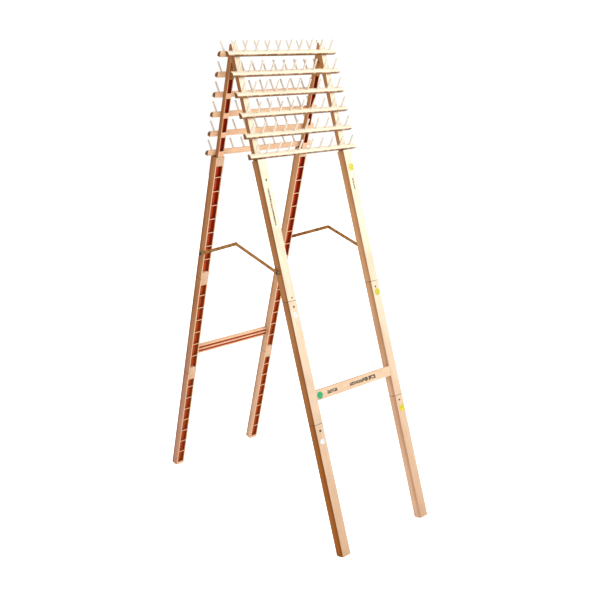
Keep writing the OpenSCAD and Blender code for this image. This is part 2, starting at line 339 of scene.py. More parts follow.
# Long streaks, broad bands and short pores that run along Z of the vector.
grainGroup, given, made = newGroup(
    "woodGrain",
    {"Vector": None, "Streak Scale": 520.0, "Band Scale": 90.0, "Pore Scale": 1500.0},
    ("Streaks", "Bands", "Pores", "Height"),
)
longways = stretched(grainGroup, given["Vector"], (1, 1, 0.03))
wander = stretched(grainGroup, given["Vector"], (1, 1, 0.09))
streaks = noise(grainGroup, longways, given["Streak Scale"], 5.0, Roughness=0.62)
bands = noise(grainGroup, wander, given["Band Scale"], 3.0, Distortion=0.5)
pores = noise(grainGroup, longways, given["Pore Scale"])
streakTone = fadeRange(grainGroup, streaks, *fades["streaks"])
bandTone = fadeRange(grainGroup, bands, *fades["bands"])
poreMask = fadeRange(grainGroup, pores, *fades["pores"])
grainGroup.links.new(streakTone, made["Streaks"])
grainGroup.links.new(bandTone, made["Bands"])
grainGroup.links.new(poreMask, made["Pores"])
ridge = calc(grainGroup, "MULTIPLY_ADD", poreMask, -0.6, streakTone)
grainGroup.links.new(ridge, made["Height"])

# Paler or darker patches where hands and edges rub: a mask near convex edges, broken up.
wearGroup, given, made = newGroup(
    "edgeWear", {"Vector": None, "Radius": 0.0012, "Patch Scale": 60.0}, ("Mask",)
)
rounded = addNode(wearGroup, "ShaderNodeBevel", {"Radius": given["Radius"]}, samples=4)
flat = addNode(wearGroup, "ShaderNodeNewGeometry")
agree = addNode(
    wearGroup,
    "ShaderNodeVectorMath",
    {0: rounded.outputs[0], 1: flat.outputs["Normal"]},
    operation="DOT_PRODUCT",
)
differ = minus(wearGroup, 1.0, agree.outputs["Value"])
nearEdge = fadeRange(wearGroup, differ, *fades["edge"])
patches = noise(wearGroup, given["Vector"], given["Patch Scale"], 4.0)
broken = fadeRange(wearGroup, patches, *fades["patches"])
wearGroup.links.new(times(wearGroup, nearEdge, broken), made["Mask"])

# Soft smudges of handling dirt and dust that break up an even colour.
smudgeGroup, given, made = newGroup(
    "handSmudges", {"Vector": None, "Scale": 14.0}, ("Mask", "Fine")
)
broad = noise(smudgeGroup, given["Vector"], given["Scale"], 6.0, Roughness=0.58)
fine = noise(smudgeGroup, given["Vector"], times(smudgeGroup, given["Scale"], 22.0))
smudgeGroup.links.new(fadeRange(smudgeGroup, broad, *fades["smudge"]), made["Mask"])
smudgeGroup.links.new(fine, made["Fine"])

# A soft-edged box on X and Z of the vector, cut into uneven dashes: a plain stamped strip.
stampGroup, given, made = newGroup(
    "stampedStrip",
    {"Vector": None, "Middle": None, "Half Size": None, "Dash Scale": 0.0},
    ("Mask",),
)
offset = addNode(
    stampGroup,
    "ShaderNodeVectorMath",
    {0: given["Vector"], 1: given["Middle"]},
    operation="SUBTRACT",
)
away = axes(stampGroup, offset.outputs[0])
half = axes(stampGroup, given["Half Size"])
spill = [minus(stampGroup, absolute(stampGroup, away[i]), half[i]) for i in (0, 2)]
outside = calc(stampGroup, "MAXIMUM", *spill)
inside = fadeRange(stampGroup, times(stampGroup, outside, -1.0), *fades["stampRim"])
dashAt = stretched(stampGroup, given["Vector"], (1, 0, 1))
dashes = noise(stampGroup, dashAt, given["Dash Scale"], 0.0)
inked = fadeRange(stampGroup, dashes, *fades["dashes"])
# a dash scale of nought leaves the strip whole
whole = calc(stampGroup, "LESS_THAN", given["Dash Scale"], 1.0)
drawn = calc(stampGroup, "MAXIMUM", inked, whole)
stampGroup.links.new(times(stampGroup, inside, drawn), made["Mask"])
print("node groups ready")


# ---- wood ----

woodLook = {
    "face": colour(0.88, 0.79, 0.62),  # planed outer faces
    "faceDeep": colour(0.76, 0.60, 0.42),  # their darker figure
    "foot": colour(0.47, 0.22, 0.095),  # warmth that grows toward the feet
    "side": colour(0.49, 0.222, 0.083),  # sides of the legs: darker edge grain and painted shade
    "sideDeep": colour(0.33, 0.12, 0.032),
    "rightSide": colour(0.62, 0.325, 0.14),  # the same on the right legs, which are paler
    "rightLow": colour(0.78, 0.50, 0.325),
    "frontLow": colour(0.35, 0.102, 0.003),  # lower end of the left front leg's side
    "rearLow": colour(0.56, 0.285, 0.19),  # lower end of the left rear leg's side
    "inner": colour(0.86, 0.42, 0.23),  # inner faces, beside the cells
    "stainAndShade": colour(0.17, 0.006, 0.001),  # walls of the cells: red stain, darkened as painted shade in the recess
    "lowStainAndShade": colour(0.28, 0.045, 0.008),  # the same, further down
    "rearFace": colour(0.90, 0.60, 0.38),  # rear rails and crossbar
    "rearDeep": colour(0.72, 0.42, 0.24),
    "barFace": colour(0.74, 0.53, 0.36),  # front crossbar
    "barDeep": colour(0.64, 0.42, 0.26),
    # dark end grain, also used as painted shade on the ends of the bars and under the rails
    "endGrainAndShade": colour(0.20, 0.085, 0.025),
    "ink": colour(0.02, 0.017, 0.013),
    "worn": colour(0.90, 0.76, 0.55),
    "dirt": colour(0.35, 0.2, 0.1),
    "shadedUpright": colour(0.62, 0.50, 0.30),  # darkens the sides of the rack's uprights
    "seam": colour(0.08, 0.03, 0.012),
    "peg": colour(0.86, 0.78, 0.67),
    "pegDeep": colour(0.70, 0.60, 0.48),
    "block": colour(0.72, 0.50, 0.34),
    "blockDeep": colour(0.58, 0.36, 0.21),
    "streakShare": 0.55,
    "bandShare": 0.35,
    "poreShare": 0.35,
    "smudgeShare": 0.14,
    "wornShare": 0.5,
    "specular": 0.12,
}


def group(tree, source, inputs):
    return addNode(tree, "ShaderNodeGroup", inputs, node_tree=source).outputs


def newMaterial(name):
    material = bpy.data.materials.new(name)
    material.use_nodes = True
    tree = material.node_tree
    tree.nodes.clear()
    result = tree.nodes.new("ShaderNodeOutputMaterial")
    shader = tree.nodes.new("ShaderNodeBsdfPrincipled")
    tree.links.new(shader.outputs[0], result.inputs["Surface"])
    return material, tree, shader.inputs


def turnedCoordinates(tree, turn):
    # object coordinates turned so that Z runs along the grain
    where = objectPoint(tree)
    return addNode(tree, "ShaderNodeMapping", {"Vector": where, "Rotation": turn}).outputs[0]


def woodTone(tree, grain, light, deep):
    tone = mixColour(tree, times(tree, grain["Streaks"], woodLook["streakShare"]), light, deep)
    tone = mixColour(tree, times(tree, grain["Bands"], woodLook["bandShare"]), tone, deep)
    poreShare = times(tree, grain["Pores"], woodLook["poreShare"])
    return mixColour(tree, poreShare, tone, deep, "MULTIPLY")


def finishWood(tree, shader, tone, grain, smudge, roughness=0.5, depth=0.00012):
    dirtShare = times(tree, smudge["Mask"], woodLook["smudgeShare"])
    tone = mixColour(tree, dirtShare, tone, woodLook["dirt"], "MULTIPLY")
    tree.links.new(tone, shader["Base Color"])
    dull = calc(tree, "MULTIPLY_ADD", grain["Streaks"], 0.12, roughness)
    tree.links.new(calc(tree, "MULTIPLY_ADD", smudge["Mask"], 0.08, dull), shader["Roughness"])
    addBump(tree, shader, grain["Height"], depth, 0.7)
    shader["Specular IOR Level"].default_value = woodLook["specular"]


def addStamps(tree, tone, along, facing, strips, share):
    # dark strips on the front: x and z, half the width and height, and the dash scale of each
    outward = calc(tree, "LESS_THAN", facing["Y"], -0.7)
    for x, z, halfWidth, halfHeight, dashes in strips:
        shape = {"Middle": (x, 0, z), "Half Size": (halfWidth, 1, halfHeight)}
        mark = group(tree, stampGroup, {"Vector": along, "Dash Scale": dashes, **shape})
        inked = times(tree, times(tree, mark["Mask"], outward), share)
        tone = mixColour(tree, inked, tone, woodLook["ink"])
    return tone


# Stamps and small marks on the outer face of the front legs: the distance up from the feet,
# the place across, half its width and height, and how fine its dashes are.
stamps = [
    (1.030, 0.162, 0.0026, 0.0180, 430.0),
    (0.715, 0.162, 0.0030, 0.0030, 0.0),
    (0.365, 0.162, 0.0034, 0.0028, 0.0),
    (0.999, -0.163, 0.0030, 0.0520, 360.0),
    (1.075, -0.163, 0.0026, 0.0036, 0.0),
    (0.742, -0.162, 0.0028, 0.0022, 0.0),
    (0.716, -0.162, 0.0030, 0.0030, 0.0),
    (0.361, -0.163, 0.0038, 0.0034, 0.0),
]

# How the finish of a leg changes, in metres down the leg or outward from its inner face.
legLook = {
    "warmTurn": (0.25, 1.42),
    "warmShare": 0.68,
    "sideTurn": (0.65, 1.25),
    "rightTurn": (0.3, 1.4),
    "stainTurn": (0.35, 0.95),
    "figureShift": 3.7,
    "uprightShare": 0.45,
    "shadeTurn": (0.013, 0.030),
    "shadeShare": 0.45,
    "cellHalf": 0.0112,
    "uprightLess": -0.0035,  # how much narrower the cells of an upright are, on each side
    "cellMouth": (0.0036, 0.0052),
    "cellFloor": 0.0135,
    "seamHalf": 0.0008,
    "seamShare": 0.75,
    "inkShare": 0.9,
}


def makeLegWood(name, side, flankLow):
    # side is 1 for the front frame and -1 for the rear one
    material, tree, shader = newMaterial(name)
    along = turnedCoordinates(tree, (side * stand["lean"], 0, 0))
    at = axes(tree, along)
    down = minus(tree, pinAlong, at["Z"])
    deep = calc(tree, "MULTIPLY_ADD", at["Y"], -side, -pinOut)
    # each section is another stick of wood, so its figure is shifted
    step = 0.0
    for seam in stand["seams"]:
        step = calc(tree, "ADD", calc(tree, "GREATER_THAN", down, seam), step)
    apart = times(tree, step, legLook["figureShift"])
    shift = addNode(tree, "ShaderNodeCombineXYZ", {0: apart}).outputs[0]
    figureAt = addNode(tree, "ShaderNodeVectorMath", {0: along, 1: shift}).outputs[0]
    grain = group(tree, grainGroup, {"Vector": figureAt})
    smudge = group(tree, smudgeGroup, {"Vector": figureAt})
    wear = group(tree, wearGroup, {"Vector": along})

    facing = axes(tree, addNode(tree, "ShaderNodeNewGeometry").outputs["Normal"])
    sideways = fadeRange(tree, absolute(tree, facing["X"]), *fades["sideways"])
    inward = fadeRange(tree, times(tree, facing["Y"], side), *fades["inward"])

    outer = woodTone(tree, grain, woodLook["face"], woodLook["faceDeep"])
    warmth = times(tree, fadeRange(tree, down, *legLook["warmTurn"]), legLook["warmShare"])
    outer = mixColour(tree, warmth, outer, woodLook["foot"])
    inUpright = calc(tree, "LESS_THAN", down, stand["seams"][0])
    # the sides take darker tones than the faces: partly edge grain, partly painted shade
    flank = woodTone(tree, grain, woodLook["side"], woodLook["sideDeep"])
    lowTone = mixColour(tree, times(tree, grain["Streaks"], 0.25), flankLow, woodLook["sideDeep"])
    flank = mixColour(tree, fadeRange(tree, down, *legLook["sideTurn"]), flank, lowTone)
    lower = fadeRange(tree, down, *legLook["rightTurn"])
    paler = mixColour(tree, lower, woodLook["rightSide"], woodLook["rightLow"])
    paler = mixColour(tree, times(tree, grain["Bands"], 0.25), paler, woodLook["side"])
    flank = mixColour(tree, calc(tree, "GREATER_THAN", at["X"], 0.0), flank, paler)
    darker = times(tree, inUpright, legLook["uprightShare"])
    flank = mixColour(tree, darker, flank, woodLook["shadedUpright"], "MULTIPLY")
    # the sides darken toward the outer face
    shade = times(tree, fadeRange(tree, deep, *legLook["shadeTurn"]), legLook["shadeShare"])
    flank = mixColour(tree, shade, flank, woodLook["sideDeep"], "MULTIPLY")
    inner = woodTone(tree, grain, woodLook["inner"], woodLook["faceDeep"])
    tone = mixColour(tree, sideways, outer, flank)
    tone = mixColour(tree, inward, tone, inner)
    upward = fadeRange(tree, facing["Z"], *fades["upward"])
    tone = mixColour(tree, upward, tone, woodLook["endGrainAndShade"])

    # the walls, ribs and floor of the cells are stained red, and darkened below their rims as
    # painted shade in the recess
    across = minus(tree, absolute(tree, at["X"]), legMiddle)
    reach = calc(tree, "MULTIPLY_ADD", inUpright, legLook["uprightLess"], legLook["cellHalf"])
    within = calc(tree, "LESS_THAN", absolute(tree, across), reach)
    sunk = fadeRange(tree, deep, *legLook["cellMouth"])
    notOuter = calc(tree, "LESS_THAN", deep, legLook["cellFloor"])
    cell = times(tree, times(tree, within, sunk), notOuter)
    lower = fadeRange(tree, down, *legLook["stainTurn"])
    stainAndShade = mixColour(tree, lower, woodLook["stainAndShade"], woodLook["lowStainAndShade"])
    stainAndShade = mixColour(tree, times(tree, grain["Streaks"], 0.4), stainAndShade, woodLook["sideDeep"])
    tone = mixColour(tree, cell, tone, stainAndShade)

    wornShare = times(tree, wear["Mask"], woodLook["wornShare"])
    tone = mixColour(tree, wornShare, tone, woodLook["worn"])
    for seam in stand["seams"]:
        gap = absolute(tree, minus(tree, down, seam))
        atSeam = calc(tree, "LESS_THAN", gap, legLook["seamHalf"])
        line = times(tree, atSeam, legLook["seamShare"])
        tone = mixColour(tree, line, tone, woodLook["seam"])
    if side > 0:
        strips = [(x, pinAlong - (stand["foot"] - up), *rest) for up, x, *rest in stamps]
        tone = addStamps(tree, tone, along, facing, strips, legLook["inkShare"])
    finishWood(tree, shader, tone, grain, smudge)
    return material


# Stamps on the front crossbar: the place across, half its width and height, and its dashes.
barStamps = [
    (-0.0895, 0.0195, 0.0050, 260.0),
    (0.0045, 0.0245, 0.0046, 300.0),
    (0.0580, 0.0290, 0.0062, 190.0),
]


barLook = {
    "shadeLineTurn": (0.0020, 0.0036),  # how far the painted shade line reaches up each rail
    "dashScale": 75.0,
    "paintedShadeLeast": 0.58,
    "paintedShadeMore": 0.4,
    "inkShare": 0.85,
}


def makeBarWood(name, side, plain, deep, marked=False, shadeLined=False):
    # crossbars and rails: the grain runs across the stand
    material, tree, shader = newMaterial(name)
    along = turnedCoordinates(tree, (side * stand["lean"], 0, 0))
    at = axes(tree, along)
    lay = addNode(tree, "ShaderNodeCombineXYZ", {0: at["Z"], 1: at["Y"], 2: at["X"]}).outputs[0]
    grain = group(tree, grainGroup, {"Vector": lay})
    smudge = group(tree, smudgeGroup, {"Vector": lay, "Scale": 18.0})
    wear = group(tree, wearGroup, {"Vector": lay})
    facing = axes(tree, addNode(tree, "ShaderNodeNewGeometry").outputs["Normal"])
    # end faces of the bars: end grain, darkened further as painted shade
    endGrainAndShade = fadeRange(tree, absolute(tree, facing["X"]), *fades["barEnd"])
    # painted shade: faces that look down take the darker side tone
    shadedUnderside = fadeRange(tree, times(tree, facing["Z"], -1.0), *fades["barUnder"])
    wornShare = times(tree, wear["Mask"], woodLook["wornShare"])
    tone = woodTone(tree, grain, woodLook[plain], woodLook[deep])
    tone = mixColour(tree, wornShare, tone, woodLook["worn"])
    tone = mixColour(tree, shadedUnderside, tone, woodLook["side"])
    tone = mixColour(tree, endGrainAndShade, tone, woodLook["endGrainAndShade"])
    if shadeLined:
        # painted shade: the lowest strip of each rail is darkened where its lower edge falls in
        # shade, in long dashes
        above = minus(tree, at["Z"], pinAlong - rails["first"])
        above = calc(tree, "FLOORED_MODULO", above, rails["pitch"])
        strip = minus(tree, 1.0, fadeRange(tree, above, *barLook["shadeLineTurn"]))
        dashAt = stretched(tree, along, (1, 0, 0.2))
        dashes = fadeRange(tree, noise(tree, dashAt, barLook["dashScale"]), *fades["paintedShade"])
        paintedShade = calc(tree, "MULTIPLY_ADD", dashes, barLook["paintedShadeMore"], barLook["paintedShadeLeast"])
        tone = mixColour(tree, times(tree, strip, paintedShade), tone, woodLook["endGrainAndShade"])
    if marked:
        strips = [(x, pinAlong - stand["crossbarAt"], *rest) for x, *rest in barStamps]
        tone = addStamps(tree, tone, along, facing, strips, barLook["inkShare"])
    finishWood(tree, shader, tone, grain, smudge)
    return material


def makePlainWood(piece, smudgeScale, grainScales, *surface):
    # pegs and blocks: one even tone of wood
    material, tree, shader = newMaterial(piece + "Wood")
    where = objectPoint(tree)
    grain = group(tree, grainGroup, {"Vector": where, **grainScales})
    smudge = group(tree, smudgeGroup, {"Vector": where, "Scale": smudgeScale})
    tone = woodTone(tree, grain, woodLook[piece], woodLook[piece + "Deep"])
    finishWood(tree, shader, tone, grain, smudge, *surface)
    return material


legWoods = (
    makeLegWood("frontLegWood", 1, woodLook["frontLow"]),
    makeLegWood("rearLegWood", -1, woodLook["rearLow"]),
)
frontBarWood = makeBarWood("frontBarWood", 1, "barFace", "barDeep", marked=True)
rearBarWood = makeBarWood("rearBarWood", -1, "rearFace", "rearDeep")
# the front rails carry a painted shade line along their lower edge
frontRailWood = makeBarWood("frontRailWood", 1, "face", "faceDeep", shadeLined=True)
pegGrain = {"Streak Scale": 900.0, "Band Scale": 160.0}
pegWood = makePlainWood("peg", 40.0, pegGrain, 0.42, 0.00006)
print("wood finishes ready")


# ---- linings, metal and stickers ----

# The red strip: each tone at the top of the stand and lower down.
liningLook = {
    "red": (colour(0.36, 0.012, 0.003), colour(0.40, 0.055, 0.008)),
    "dark": (colour(0.18, 0.004, 0.001), colour(0.22, 0.022, 0.003)),
    # light is the tone of the painted highlight along the middle of the strip
    "light": (colour(0.62, 0.095, 0.035), colour(0.52, 0.12, 0.03)),
    "turn": (-1.05, -0.35),  # heights, from the top down
    # where the painted highlight fades out, and how strong it is
    "paintedHighlight": (0.001, 0.005),
    "streakShare": 0.75,
    "fibreShare": 0.35,
    "smudgeShare": 0.3,
    "roughness": 0.85,
    "specular": 0.04,
}


def makeLining(name):
    # woven red strip, with a painted highlight along its middle and more orange lower down
    material, tree, shader = newMaterial(name)
    where = objectPoint(tree)
    at = axes(tree, where)
    smudge = group(tree, smudgeGroup, {"Vector": where, "Scale": 30.0})
    fibres = noise(tree, stretched(tree, where, (1, 1, 0.15)), 1400.0, 4.0)
    low = fadeRange(tree, times(tree, at["Z"], -1.0), *liningLook["turn"])
    red, dark, light = (
        mixColour(tree, low, *liningLook[key]) for key in ("red", "dark", "light")
    )
    # painted highlight along the middle of each leg's strip
    across = minus(tree, absolute(tree, at["X"]), legMiddle)
    beside = fadeRange(tree, absolute(tree, across), *liningLook["paintedHighlight"])
    paintedHighlight = times(tree, minus(tree, 1.0, beside), liningLook["streakShare"])
    tone = mixColour(tree, paintedHighlight, red, light)
    fibreMask = times(tree, fadeRange(tree, fibres, *fades["fibres"]), liningLook["fibreShare"])
    tone = mixColour(tree, fibreMask, tone, dark)
    tone = mixColour(tree, times(tree, smudge["Mask"], liningLook["smudgeShare"]), tone, dark)
    tree.links.new(tone, shader["Base Color"])
    shader["Roughness"].default_value = liningLook["roughness"]
    shader["Specular IOR Level"].default_value = liningLook["specular"]
    addBump(tree, shader, fibres, 0.0002, 0.6)
    return material


def makeMetal(name, bright, dull, roughness, scratchTone):
    material, tree, shader = newMaterial(name)
    where = objectPoint(tree)
    smudge = group(tree, smudgeGroup, {"Vector": where, "Scale": 55.0})
    wear = group(tree, wearGroup, {"Vector": where, "Radius": 0.0006, "Patch Scale": 240.0})
    brushed = noise(tree, stretched(tree, where, (1, 0.06, 0.06)), 3200.0, 3.0)
    tone = mixColour(tree, smudge["Mask"], bright, dull)
    tone = mixColour(tree, times(tree, wear["Mask"], 0.7), tone, scratchTone)
    tree.links.new(tone, shader["Base Color"])
    shader["Metallic"].default_value = 1.0
    uneven = calc(tree, "MULTIPLY_ADD", smudge["Fine"], 0.18, roughness)
    tree.links.new(calc(tree, "MULTIPLY_ADD", smudge["Mask"], 0.15, uneven), shader["Roughness"])
    addBump(tree, shader, brushed, 0.00003, 0.4)
    return material


def makeSticker(name, left, right, ink):
    # paper with a faint soiling and a printed pattern; its colour changes at splitAt
    material, tree, shader = newMaterial(name)
    where = objectPoint(tree)
    smudge = group(tree, smudgeGroup, {"Vector": where, "Scale": 120.0})
    onRight = calc(tree, "GREATER_THAN", axes(tree, where)["X"], papers["splitAt"])
    tone = mixColour(tree, onRight, papers[left], papers[right])
    soiled = times(tree, smudge["Mask"], 0.25)
    tone = mixColour(tree, soiled, tone, papers["soil"], "MULTIPLY")
    pattern = noise(tree, stretched(tree, where, (1, 1, 0.4)), 700.0, 1.0)
    printed = times(tree, fadeRange(tree, pattern, *fades["print"]), 0.6)
    tone = mixColour(tree, printed, tone, papers[ink])
    tree.links.new(tone, shader["Base Color"])
    tree.links.new(calc(tree, "MULTIPLY_ADD", smudge["Fine"], 0.2, 0.4), shader["Roughness"])
    return material


redLining = makeLining("redLining")
# bright, dull and scratched tones, with the roughness
metals = {
    "bronzedMetal": ((0.50, 0.23, 0.065), (0.27, 0.11, 0.03), (0.75, 0.52, 0.28), 0.38),
    "platedSteel": ((0.46, 0.45, 0.43), (0.22, 0.21, 0.2), (0.7, 0.69, 0.66), 0.3),
    "dullBrass": ((0.62, 0.50, 0.32), (0.40, 0.29, 0.16), (0.7, 0.6, 0.42), 0.5),
    "darkSteel": ((0.10, 0.095, 0.09), (0.05, 0.045, 0.04), (0.3, 0.29, 0.27), 0.36),
}
bronzedMetal, platedSteel, dullBrass, darkSteel = (
    makeMetal(name, colour(*bright), colour(*dull), roughness, colour(*scratched))
    for name, (bright, dull, scratched, roughness) in metals.items()
)
# the dot on the crossbar's left end is green, and those on the right leg are yellow
papers = {
    "green": colour(0.015, 0.42, 0.15),
    "yellow": colour(0.72, 0.60, 0.01),
    "white": colour(0.82, 0.83, 0.85),
    "darkPrint": colour(0.02, 0.05, 0.01),
    "greyPrint": colour(0.2, 0.22, 0.26),
    "soil": colour(0.3, 0.3, 0.25),
    "splitAt": -0.05,
}
dotPaper = makeSticker("dotPaper", "green", "yellow", "darkPrint")
whitePaper = makeSticker("whitePaper", "white", "white", "greyPrint")
print("lining, metal and sticker finishes ready")


# ---- legs ----

legs = {
    "tops": -0.046,
    "uprightWidth": 0.020,
    "uprightWall": 0.0025,
    "upperBlock": 0.028,
    "channelDepth": 0.010,
    "wall": 0.004,
    "footSolid": 0.012,
    "cellPitch": 0.045,
    "rib": 0.0025,
    "spliceLength": 0.046,
    "pivotAt": 0.597,
    "mitreGap": 0.00015,
    "ease": 0.0007,
}
uprightEnd, *spliceSeams = stand["seams"]


def ribsUpFrom(low, high):
    found = []
    at = low - legs["cellPitch"]
    while at > high + legs["rib"]:
        found.append(at)
        at -= legs["cellPitch"]
    return found


def ribPlaces():
    halfSplice = legs["spliceLength"] / 2
    starts = [seam - halfSplice for seam in spliceSeams] + [stand["foot"] - legs["footSolid"]]
    stops = [uprightEnd + legs["upperBlock"]] + [seam + halfSplice for seam in spliceSeams]
    return sorted(at for low, high in zip(starts, stops) for at in ribsUpFrom(low, high))


def legCells(top, bottom):
    last = min(bottom, stand["foot"] - legs["footSolid"])
    halfRib = legs["rib"] / 2
    ribs = [at for at in ribPlaces() if top < at < last]
    marks = [top] + [at + step for at in ribs for step in (-halfRib, halfRib)] + [last]
    return list(zip(marks[::2], marks[1::2]))


def uprightCells():
    # one cell between each two rails, from the second rail down
    starts = [rails["first"] + i * rails["pitch"] for i in range(1, rails["count"] - 1)]
    return [(at, at + rails["pitch"] - rails["height"]) for at in starts]


def makeLegSection(top, bottom, width, wall, outerFace, cells):
    outer = -outerFace
    inner = -stand["innerFace"]
    leg = addBox(
        "leg", (-legMiddle - width / 2, outer, -bottom), (-legMiddle + width / 2, inner, -top)
    )
    floor = inner - legs["channelDepth"]
    half = width / 2 - wall
    left, right = -legMiddle - half, -legMiddle + half

    openMesh(leg)
    for at in (mark for cell in cells for mark in cell):
        cutAt((0, 0, -at), (0, 0, 1))
    for x in (left, right):
        cutAt((x, 0, 0), (1, 0, 0))
    cutAt((0, floor, 0), (0, 1, 0))

    def inCell(centre, normal):
        between = left < centre.x < right
        return normal.y > 0.9 and between and any(a < -centre.z < b for a, b in cells)

    pickFaces(leg, inCell)
    extrudeBy(0, -legs["channelDepth"], 0)

    # the channel runs out through a seam, so the faces that close it there go
    def closesChannel(centre, normal):
        atSeam = min(abs(-centre.z - seam) for seam in stand["seams"]) < 1e-5
        return atSeam and left < centre.x < right and centre.y > floor and top > 0

    pickFaces(leg, closesChannel)
    bpy.ops.mesh.delete(type="FACE")
    cleanMesh()
    closeMesh()
    placeBy(leg, onFront)

    # the mitred top and the flat planed on the foot
    openMesh(leg)
    cutAt((0, -legs["mitreGap"], 0), (0, 1, 0), dropAbove=True)
    cutAt((0, 0, 0), (0, 0, -1), dropAbove=True)
    cleanMesh()
    closeMesh()
    easeEdges(leg, legs["ease"])
    return leg


def makeLegs():
    ends = [legs["tops"]] + stand["seams"] + [stand["foot"]]
    for part, top, bottom in zip(("top", "upper", "lower", "foot"), ends, ends[1:]):
        if part == "top":
            shape = (legs["uprightWidth"], legs["uprightWall"], stand["rackFace"], uprightCells())
        else:
            shape = (stand["legWidth"], legs["wall"], stand["outerFace"], legCells(top, bottom))
        left = makeLegSection(top, bottom, *shape)
        right = copyPiece(left, "leg", toRight)
        for side, piece in (("left", left), ("right", right)):
            name = side.title() + "Leg" + part.title()
            setPair(piece, name, "pale_wood", legWoods, f"{side}_leg_{part}")


makeLegs()
print("legs made")


# ---- splice blocks in the legs ----

blocks = {"ease": 0.0004}


def makeBlocks():
    spans = [(seam, legs["spliceLength"] / 2) for seam in spliceSeams]
    spans.append((uprightEnd + legs["upperBlock"] / 2, legs["upperBlock"] / 2))
    channelHalf = stand["legWidth"] / 2 - legs["wall"]
    made = []
    for at, half in spans:
        block = addBox(
            "block",
            (-legMiddle - channelHalf, -stand["innerFace"] - legs["channelDepth"], -at - half),
            (-legMiddle + channelHalf, -stand["innerFace"], -at + half),
        )
        easeEdges(block, blocks["ease"])
        made += [block, copyPiece(block, "block", toRight)]
    front = joinPieces(made, "frontLegBlocks")
    placeBy(front, onFront)
    setPair(front, "LegBlocks", "pale_wood", (blockWood, blockWood), "leg_blocks")


blockWood = makePlainWood("block", 30.0, {})
makeBlocks()
print("splice blocks made")


# ---- crossbars ----

crossbar = {
    "height": 0.029,
    "depth": 0.014,
    "groove": 0.005,
    "wood": 0.0035,  # beside and between the grooves
    "ease": 0.0006,
}


def makeCrossbars():
    outer = -stand["outerFace"]
    inner = outer + crossbar["depth"]
    floor = inner - crossbar["groove"]
    reach = stand["halfWidth"] - stand["legWidth"]
    half = crossbar["height"] / 2
    at = -stand["crossbarAt"]
    bar = addBox("frontCrossbar", (-reach, outer, at - half), (reach, inner, at + half))
    edge = half - crossbar["wood"]
    marks = [at + z for z in (-edge, -crossbar["wood"] / 2, crossbar["wood"] / 2, edge)]
    grooves = (marks[:2], marks[2:])

    def inGroove(z):
        return any(a < z < b for a, b in grooves)

    openMesh(bar)
    for z in marks:
        cutAt((0, 0, z), (0, 0, 1))
    cutAt((0, floor, 0), (0, 1, 0))
    pickFaces(bar, lambda centre, normal: normal.y > 0.9 and inGroove(centre.z))
    extrudeBy(0, -crossbar["groove"], 0)

    def closesGroove(centre, normal):
        return abs(normal.x) > 0.9 and centre.y > floor and inGroove(centre.z)

    pickFaces(bar, closesGroove)
    bpy.ops.mesh.delete(type="FACE")
    cleanMesh()
    closeMesh()
    easeEdges(bar, crossbar["ease"])
    placeBy(bar, onFront)
    setPair(bar, "Crossbar", "pale_wood", (frontBarWood, rearBarWood), "crossbar")


makeCrossbars()
print("crossbars made")


# ---- rails ----


def makeRails():
    outer = -stand["rackFace"]
    low = -rails["first"]
    rail = addBox(
        "rail",
        (-rails["length"] / 2, outer - rails["depth"], low),
        (rails["length"] / 2, outer, low + rails["height"]),
    )
    openMesh(rail, "EDGE")

    def bevelledEdge(a, b):
        return all(p.y < outer - 0.001 and p.z > low + 0.001 for p in (a, b))

    pickEdges(rail, bevelledEdge)
    bpy.ops.mesh.bevel(offset=rails["bevel"], offset_type="OFFSET", segments=1, affect="EDGES")
    closeMesh()
    easeEdges(rail, rails["ease"])
    for i in range(rails["count"]):
        down = Matrix.Translation((0, 0, -i * rails["pitch"]))
        front = copyPiece(rail, "rail", onFront @ down)
        finishes = (frontRailWood, rearBarWood)
        setPair(front, f"Rail{i + 1}", "pale_wood", finishes, f"rail_{i + 1}")
    bpy.data.objects.remove(rail)


makeRails()
print("rails made")


# ---- pegs ----

pegs = {
    "perRail": 10,
    "pitch": 0.040,
    "radius": 0.00275,
    "length": 0.034,
    "tenonRadius": 0.00235,
    "tenon": 0.009,
    "tip": 0.0012,
    "sway": 0.9,  # degrees that a peg may stand off true
    "seed": 41,
}


def makePeg():
    peg = addRound(12, pegs["radius"], 0, pegs["length"])
    openMesh(peg)
    pickFaces(peg, lambda centre, normal: normal.z < -0.9)
    bpy.ops.mesh.inset(thickness=pegs["radius"] - pegs["tenonRadius"])
    extrudeBy(0, 0, -pegs["tenon"])
    tip = pegs["length"] - 1e-5
    pickEdges(peg, lambda a, b: a.z > tip and b.z > tip)
    bpy.ops.mesh.bevel(offset=pegs["tip"], segments=2, affect="EDGES")
    closeMesh()
    smoothUnder(50)
    return peg


def makePegs():
    peg = makePeg()
    draw = random.Random(pegs["seed"])
    for frameSide in ("front", "rear"):
        made = []
        for i in range(rails["count"]):
            out = -(stand["rackFace"] + rails["depth"] - rails["bevel"] / 2)
            up = -rails["first"] - i * rails["pitch"] + rails["height"] - rails["bevel"] / 2
            for k in range(pegs["perRail"]):
                x = (k - (pegs["perRail"] - 1) / 2) * pegs["pitch"]
                sway = [math.radians(draw.uniform(-1, 1) * pegs["sway"]) for _ in range(2)]
                place = (
                    Matrix.Translation((x, out, up))
                    @ Matrix.Rotation(math.radians(45) + sway[0], 4, "X")
                    @ Matrix.Rotation(sway[1], 4, "Y")
                )
                made.append(copyPiece(peg, "peg", place))
        rack = joinPieces(made, frameSide + "Pegs")
        placeBy(rack, onFront if frameSide == "front" else toRear @ onFront)
        setPiece(rack, frameSide + "_frame", "pale_wood", pegWood, frameSide + "_pegs")
    bpy.data.objects.remove(peg)


makePegs()
print("pegs made")


# ---- screws in the rails and hinge leaves ----

